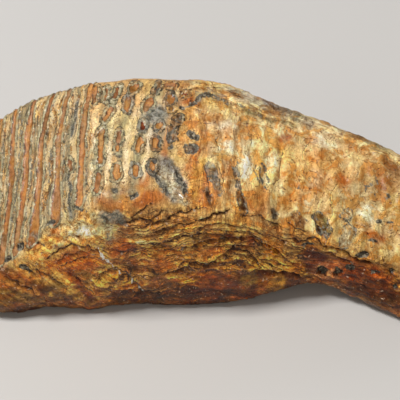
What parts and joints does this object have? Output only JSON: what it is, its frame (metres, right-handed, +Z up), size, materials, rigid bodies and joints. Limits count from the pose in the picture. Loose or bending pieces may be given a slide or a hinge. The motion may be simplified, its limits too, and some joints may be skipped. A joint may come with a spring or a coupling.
{
  "type": "fossil mammoth molar",
  "caption": "Long curved fossil molar with a worn, ridged chewing surface at the front, a smooth rounded rear and a flat root base to stand on.",
  "frame": {"origin": "middle of the tooth's bounding box in plan, at the level of the flat root base", "axes": "+X along the tooth from its worn front end to its rear end, +Y from the hollow near wall to the bulging far wall, +Z up from the root base to the chewing surface"},
  "size_m": [0.305, 0.1116, 0.1087],
  "materials": {
    "tooth": "iron-stained fossil ivory with pale enamel ridges, satin where worn and dull in the pits"
  },
  "bodies": {
    "root": {"mammoth_tooth": "tooth"}
  },
  "joints": []
}
